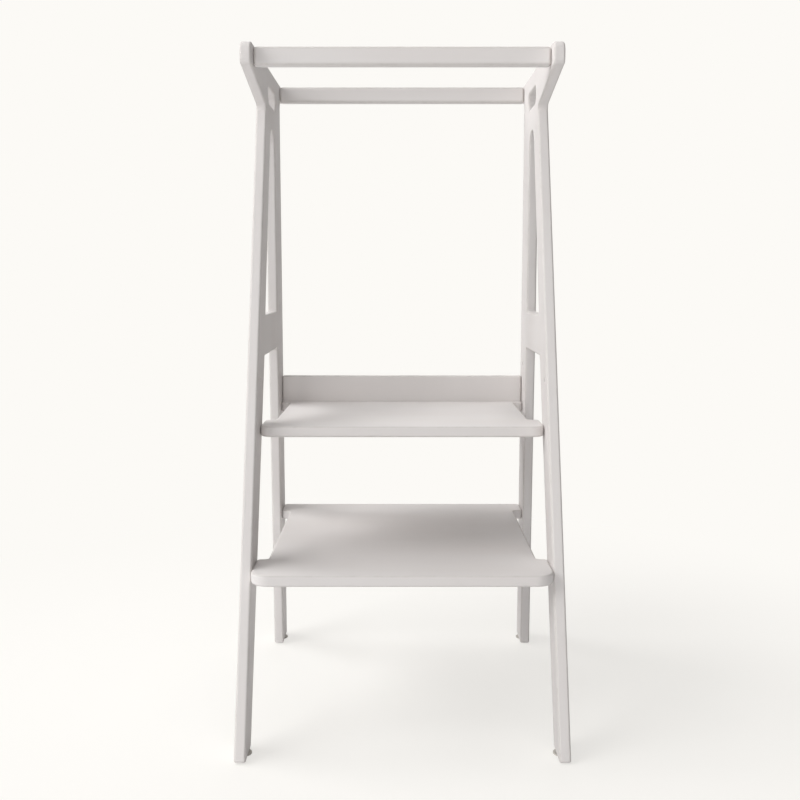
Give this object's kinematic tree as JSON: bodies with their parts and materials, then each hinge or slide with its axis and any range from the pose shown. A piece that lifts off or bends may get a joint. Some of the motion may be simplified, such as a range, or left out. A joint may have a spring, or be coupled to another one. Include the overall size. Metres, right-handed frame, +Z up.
{
  "type": "toddler kitchen helper stool",
  "caption": "Child's standing tower: one-piece slotted side panels with sloping front legs, an eared step, a standing platform with a toe board, and rounded top rails.",
  "frame": {"origin": "on the floor, under the middle of the stool's overall box", "axes": "+Z up; -Y towards the front, where the child climbs in; +X right as seen from the front"},
  "size_m": [0.431, 0.5244, 0.914],
  "materials": {
    "painted_board": "plywood with a satin warm-grey paint",
    "dowel_wood": "bare beech",
    "zinc_plated_steel": "bright zinc plating",
    "pad_felt": "dense pale-grey felt"
  },
  "bodies": {
    "root": {"right_side_panel": "painted_board", "left_side_panel": "painted_board", "front_top_rail": "painted_board", "rear_top_rail": "painted_board", "lower_platform": "painted_board", "upper_platform": "painted_board", "toe_board": "painted_board", "lower_platform_bolts": "zinc_plated_steel", "lower_platform_cylinder_nuts": "zinc_plated_steel", "upper_platform_bolts": "zinc_plated_steel", "upper_platform_cylinder_nuts": "zinc_plated_steel", "front_rail_bolts": "zinc_plated_steel", "front_rail_sleeves": "zinc_plated_steel", "rear_rail_bolts": "zinc_plated_steel", "rear_rail_sleeves": "zinc_plated_steel", "toe_board_screws": "zinc_plated_steel", "front_rail_dowels": "dowel_wood", "rear_rail_dowels": "dowel_wood", "front_left_floor_pad": "pad_felt", "front_right_floor_pad": "pad_felt", "rear_left_floor_pad": "pad_felt", "rear_right_floor_pad": "pad_felt"}
  },
  "joints": []
}
